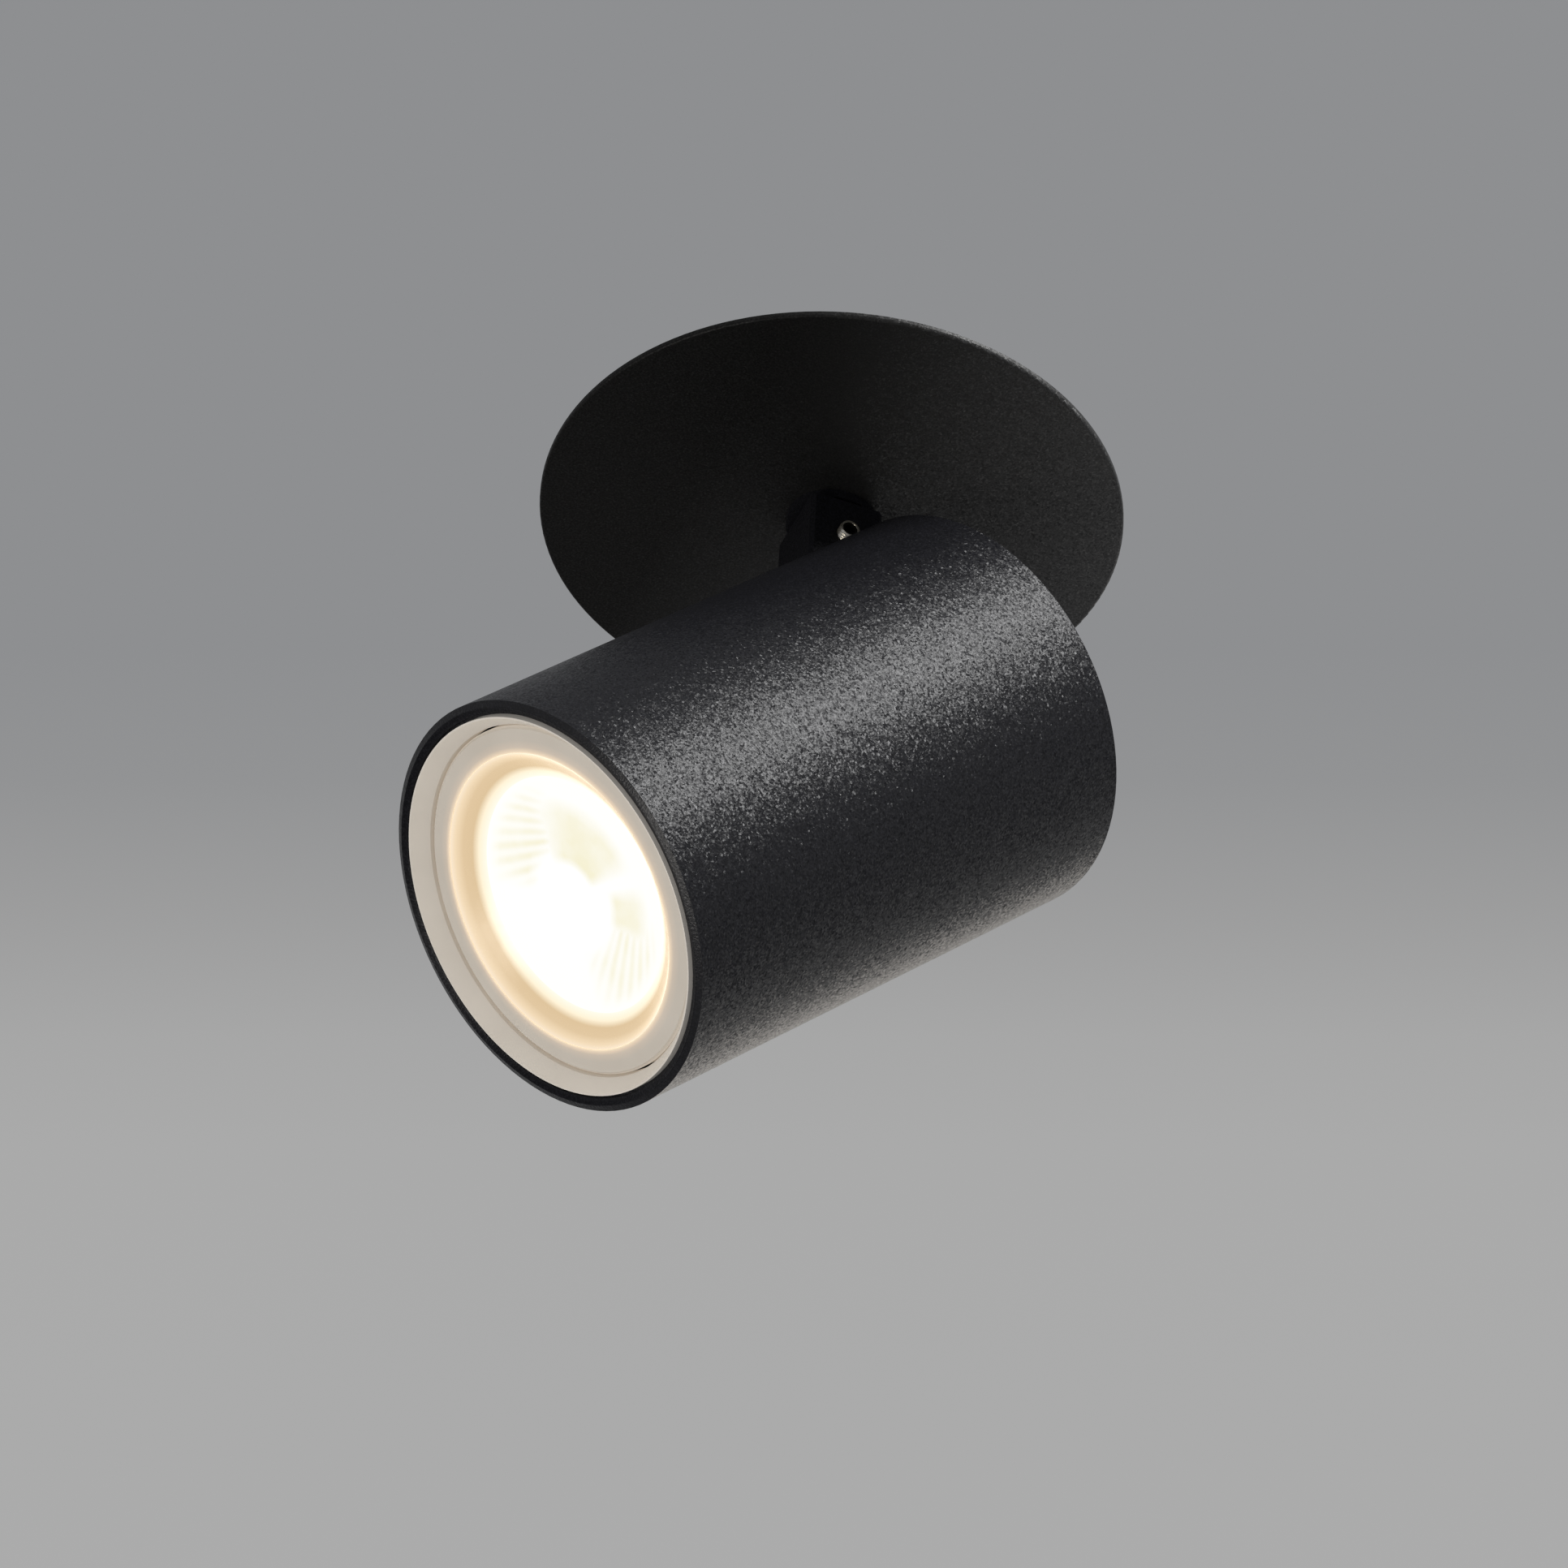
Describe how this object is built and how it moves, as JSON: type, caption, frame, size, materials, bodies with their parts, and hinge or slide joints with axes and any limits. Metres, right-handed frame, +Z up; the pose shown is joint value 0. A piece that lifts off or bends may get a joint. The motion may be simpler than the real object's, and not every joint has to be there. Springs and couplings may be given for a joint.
{
  "type": "recessed spotlight",
  "caption": "Adjustable recessed ceiling spotlight: round plate with spring clips, a swivel arm and a tilting black tube head around a twist-lock reflector lamp.",
  "frame": {"origin": "centre of the ceiling plate's back face, on the swivel axis, where the plate meets the ceiling", "axes": "+Z up into the ceiling along the swivel axis; the head points towards -X and down at rest"},
  "size_m": [0.1018, 0.0854, 0.1366],
  "materials": {
    "black_coat": "fine textured powder coat",
    "zinc_steel": "zinc plated",
    "bright_steel": "bright",
    "brass": "turned",
    "white_plastic": "moulded",
    "pale_rim": "satin moulded",
    "rubber": "matte",
    "ceramic": "unglazed",
    "lead_sleeve": "silicone",
    "earth_sleeve": "silicone",
    "lens": "clear",
    "mirror_coat": "mirror",
    "circuit_board": "lacquered",
    "emitter": "phosphor"
  },
  "bodies": {
    "ceiling": {"ceiling_plate": "black_coat", "clip_bracket": "zinc_steel", "swivel_nipple": "black_coat", "toothed_washer": "zinc_steel", "lock_nut": "zinc_steel", "earth_tag": "brass", "earth_screw": "brass", "earth_lead": "earth_sleeve", "terminal_block": "white_plastic", "terminal_inserts": "brass", "terminal_screws": "bright_steel", "terminal_cover": "white_plastic", "cover_screw": "bright_steel", "inlet_grommet": "rubber", "box_leads": "lead_sleeve", "clip_pins": "zinc_steel", "left_clip_spring": "bright_steel", "right_clip_spring": "bright_steel"},
    "left_clip": {"left_clip_arm": "zinc_steel", "left_clip_sleeve": "rubber"},
    "right_clip": {"right_clip_arm": "zinc_steel", "right_clip_sleeve": "rubber"},
    "swivel": {"knuckle_arm": "black_coat", "grub_screw": "bright_steel", "pivot_screws": "bright_steel", "friction_washers": "zinc_steel", "disc_springs": "bright_steel", "stem_leads": "lead_sleeve"},
    "head": {"housing_tube": "black_coat", "rear_cap": "black_coat", "cap_screws": "bright_steel", "cap_spacers": "zinc_steel", "bulkhead": "zinc_steel", "left_cheek": "zinc_steel", "right_cheek": "zinc_steel", "lamp_holder": "ceramic", "holder_contacts": "brass", "holder_screws": "bright_steel", "holder_nuts": "zinc_steel", "head_leads": "lead_sleeve", "trim_ring": "pale_rim"},
    "lamp": {"lamp_rim": "pale_rim", "lamp_shell": "white_plastic", "lamp_base": "white_plastic", "lamp_pins": "brass", "lamp_lens": "lens", "lamp_reflector": "mirror_coat", "lamp_led_board": "circuit_board", "lamp_emitter": "emitter", "lamp_driver_board": "circuit_board"}
  },
  "joints": [
    {"name": "pan", "type": "hinge", "parent": "ceiling", "child": "swivel", "pos_m": [0, 0, 0], "axis": [0, 0, 1], "range_deg": [-158, 158], "deforming": ["stem_leads"]},
    {"name": "tilt", "type": "hinge", "parent": "swivel", "child": "head", "pos_m": [0, 0, -0.02396], "axis": [0, 1, 0], "range_deg": [-46.3, 43.7], "deforming": ["head_leads"]},
    {"name": "lamp_twist", "type": "hinge", "parent": "head", "child": "lamp", "pos_m": [0.01361, 0, -0.0382], "axis": [-0.723, 0, -0.6909], "range_deg": [0, 22]},
    {"name": "left_clip_fold", "type": "hinge", "parent": "ceiling", "child": "left_clip", "pos_m": [-0.02697, 0.00982, 0.013], "axis": [0.342, 0.9397, 0], "range_deg": [0, 128], "stiffness_Nm_per_rad": 0.02, "springref_deg": -57.3, "deforming": ["left_clip_spring"]},
    {"name": "right_clip_fold", "type": "hinge", "parent": "ceiling", "child": "right_clip", "pos_m": [0.02697, -0.00982, 0.013], "axis": [-0.342, -0.9397, 0], "range_deg": [0, 128], "stiffness_Nm_per_rad": 0.02, "springref_deg": -57.3, "deforming": ["right_clip_spring"]}
  ]
}
